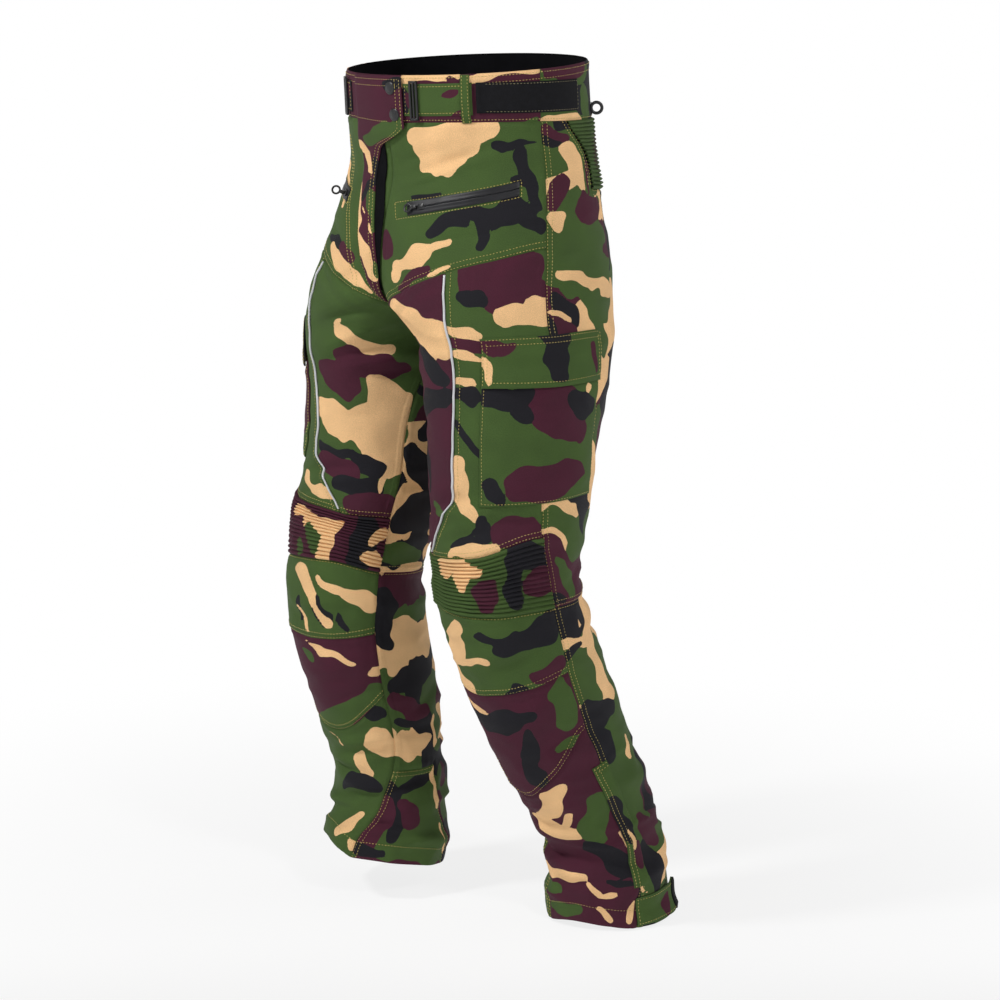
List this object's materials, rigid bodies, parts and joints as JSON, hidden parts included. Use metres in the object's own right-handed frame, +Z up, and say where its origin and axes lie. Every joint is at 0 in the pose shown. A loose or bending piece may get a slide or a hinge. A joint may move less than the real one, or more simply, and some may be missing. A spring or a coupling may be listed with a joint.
{
  "type": "motorcycle trousers",
  "caption": "Camouflage motorcycle trousers, filled out as worn in mid stride, with stretch knee panels, ribbed back yoke, cargo pockets, zip pockets and waist adjusters.",
  "frame": {"origin": "middle of the waistband at half its height, where the wearer's waist holds the trousers", "axes": "+Z up along the body, -Y the way the wearer faces, +X the wearer's left"},
  "size_m": [0.4092, 0.3262, 0.9967],
  "materials": {
    "camo_cloth": "woven woodland camouflage of green, maroon, near-black and tan on a polyester shell",
    "camo_elastic": "ribbed elasticated camouflage cloth",
    "black_lining": "plain black lining",
    "reflective_piping": "silver-grey reflective cord",
    "hook_tape": "black hook-and-loop tape",
    "zip_tape": "coated black water-resistant zip tape",
    "black_plastic": "moulded black plastic"
  },
  "bodies": {
    "garment": {"adjuster_strap_left": "camo_cloth", "adjuster_strap_right": "camo_cloth", "back_clip_left": "black_plastic", "back_clip_right": "black_plastic", "back_yoke": "camo_elastic", "belt_loop_left": "camo_cloth", "belt_loop_right": "camo_cloth", "calf_left": "camo_cloth", "calf_right": "camo_cloth", "cargo_bag_left": "camo_cloth", "cargo_bag_right": "camo_cloth", "cargo_flap_left": "camo_cloth", "cargo_flap_right": "camo_cloth", "fly_flap": "camo_cloth", "fly_guard": "black_lining", "front_yoke_left": "camo_cloth", "front_yoke_right": "camo_cloth", "hem_tab_end_left": "hook_tape", "hem_tab_end_right": "hook_tape", "hem_tab_left": "camo_cloth", "hem_tab_right": "camo_cloth", "hook_tape_left": "hook_tape", "hook_tape_right": "hook_tape", "knee_accordion_left": "camo_elastic", "knee_accordion_right": "camo_elastic", "knee_cap_left": "camo_cloth", "knee_cap_right": "camo_cloth", "ladder_buckle_left": "black_plastic", "ladder_buckle_right": "black_plastic", "lower_front_left": "camo_cloth", "lower_front_right": "camo_cloth", "lower_gusset_left": "camo_cloth", "lower_gusset_right": "camo_cloth", "piping_left": "reflective_piping", "piping_right": "reflective_piping", "seat_and_back_thigh_left": "camo_cloth", "seat_and_back_thigh_right": "camo_cloth", "shin_left": "camo_cloth", "shin_right": "camo_cloth", "snap_lower": "black_plastic", "snap_upper": "black_plastic", "thigh_inner_left": "camo_cloth", "thigh_inner_right": "camo_cloth", "thigh_outer_left": "camo_cloth", "thigh_outer_right": "camo_cloth", "vent_flap_left": "camo_cloth", "vent_flap_right": "camo_cloth", "waist_facing": "black_lining", "waistband_back": "camo_cloth", "waistband_front_left": "camo_cloth", "waistband_front_right": "camo_cloth", "zip_slider_left": "black_plastic", "zip_slider_right": "black_plastic", "zip_tape_left": "zip_tape", "zip_tape_right": "zip_tape"},
    "zip_pull_left_body": {"zip_pull_left": "black_plastic"},
    "zip_pull_right_body": {"zip_pull_right": "black_plastic"}
  },
  "joints": [
    {"name": "zip_pull_left_hinge", "type": "hinge", "parent": "garment", "child": "zip_pull_left_body", "pos_m": [0.04987, -0.12162, -0.11411], "axis": [-0.2467, 0.2914, 0.9242], "range_deg": [0, 150]},
    {"name": "zip_pull_right_hinge", "type": "hinge", "parent": "garment", "child": "zip_pull_right_body", "pos_m": [-0.08831, -0.10711, -0.1076], "axis": [-0.3168, -0.2221, -0.9221], "range_deg": [-60, 60]}
  ]
}
